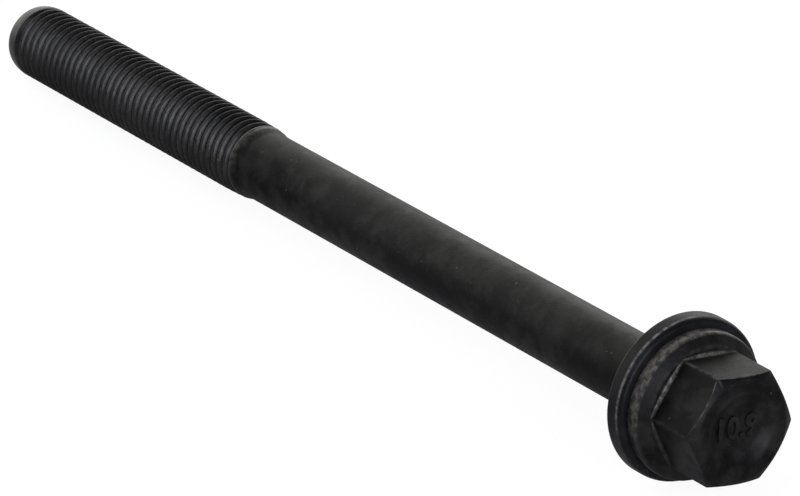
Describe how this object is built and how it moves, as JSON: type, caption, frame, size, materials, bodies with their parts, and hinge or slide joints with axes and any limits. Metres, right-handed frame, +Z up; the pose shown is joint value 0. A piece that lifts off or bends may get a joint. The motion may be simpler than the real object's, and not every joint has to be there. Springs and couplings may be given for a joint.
{
  "type": "cylinder head bolt",
  "caption": "Long hexagon flange bolt with a dished head, a plain shank, a rolled thread at the tip and a thick captive washer under the flange, lying on its side.",
  "frame": {"origin": "on the surface that the bolt lies on, under the middle of the bolt's bounding box", "axes": "+X along the bolt from tip to head, +Z up; the head end leans up by 2.1 degrees, because the bolt rests on the washer's rim and on the thread near the tip"},
  "size_m": [0.1746, 0.0229, 0.0229],
  "materials": {
    "bolt_steel": "black phosphate with a light film of oil, matt on the shank, pale worn rim on the flange",
    "washer_steel": "dark phosphate, smoother and a little paler than the bolt, with bright rubs on its edge"
  },
  "bodies": {
    "bolt": {"bolt": "bolt_steel"},
    "washer": {"washer": "washer_steel"}
  },
  "joints": [
    {"name": "washer_slide", "type": "slide", "parent": "bolt", "child": "washer", "axis": [-0.9993, 0, -0.0366], "range_m": [0, 0.097]}
  ]
}
